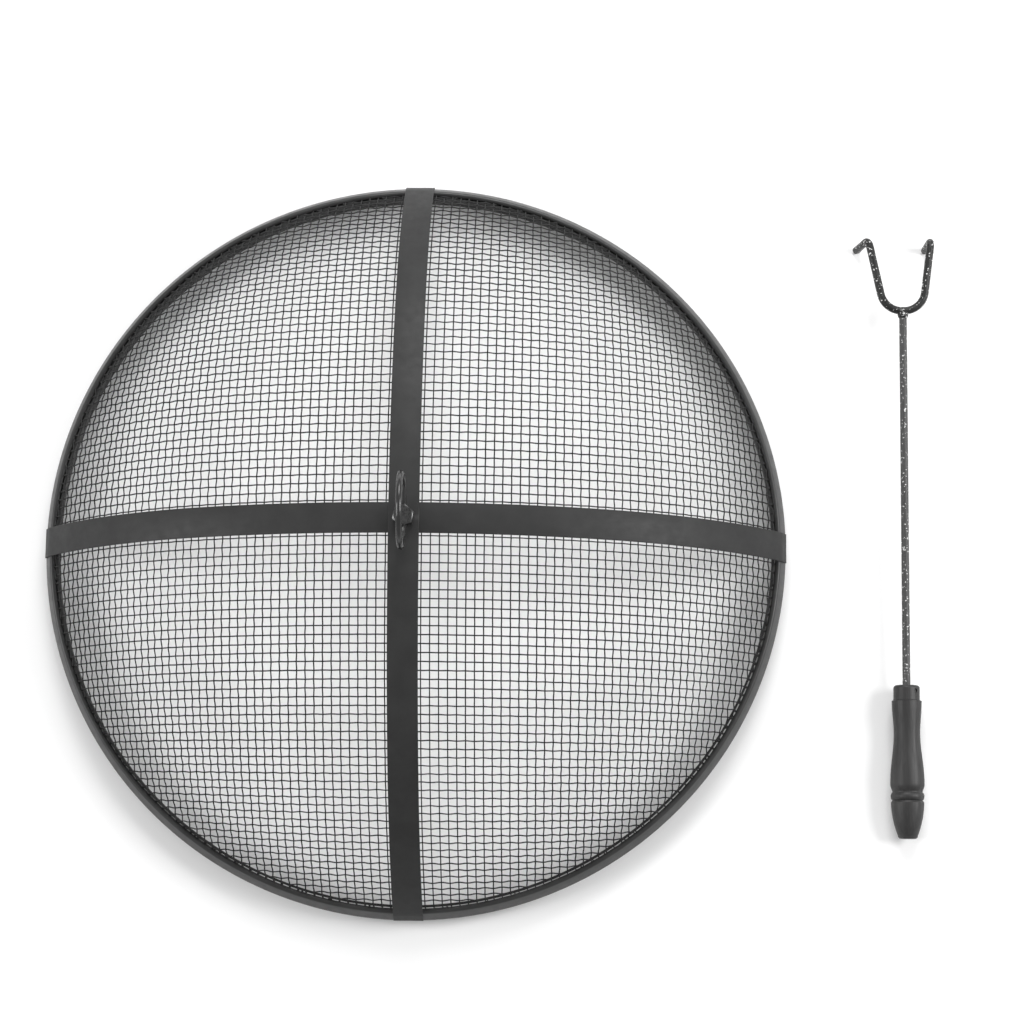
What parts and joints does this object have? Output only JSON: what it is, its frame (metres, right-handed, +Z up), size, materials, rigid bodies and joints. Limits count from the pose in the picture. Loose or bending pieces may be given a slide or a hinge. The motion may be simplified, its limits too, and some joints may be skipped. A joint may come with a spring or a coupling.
{
  "type": "domed fire pit spark screen with lifting poker",
  "caption": "Round domed wire-mesh spark screen for a fire pit, with steel rim, crossing straps and a swinging lift ring, and a two-pronged lifting poker with a turned wooden handle.",
  "frame": {"origin": "on the axis of the rim, in the plane of the rim wall's lower edge, which the screen stands on", "axes": "+Z up along the rim's axis; X along the lower strap, with the poker on the +X side; Y along the upper strap and the poker, whose fork points to +Y"},
  "size_m": [0.9171, 0.7626, 0.2839],
  "materials": {
    "painted_steel": "satin",
    "painted_wire": "satin",
    "black_fastener": "gloss",
    "ring_wire": "satin",
    "poker_steel": "satin",
    "stained_wood": "satin"
  },
  "bodies": {
    "screen": {"rim_hoop": "painted_steel", "mesh_dome": "painted_wire", "mesh_clamp_hoop": "painted_steel", "lower_strap": "painted_steel", "upper_strap": "painted_steel", "right_strap_weld": "painted_steel", "left_strap_weld": "painted_steel", "far_strap_weld": "painted_steel", "near_strap_weld": "painted_steel", "ring_bolt": "black_fastener", "backing_washer": "black_fastener", "spring_washer": "black_fastener", "bolt_nut": "black_fastener"},
    "ring": {"lift_ring": "ring_wire"},
    "poker": {"poker_fork": "poker_steel", "poker_rod": "poker_steel", "fork_weld": "poker_steel", "poker_handle": "stained_wood", "handle_pin": "poker_steel"}
  },
  "joints": [
    {"name": "ring_swing", "type": "hinge", "parent": "screen", "child": "ring", "pos_m": [0, 0, 0.21165], "axis": [0, 1, 0], "range_deg": [-95, 95]},
    {"name": "poker_lift", "type": "slide", "parent": "screen", "child": "poker", "axis": [0, 0, 1], "range_m": [0, 0.32]}
  ]
}
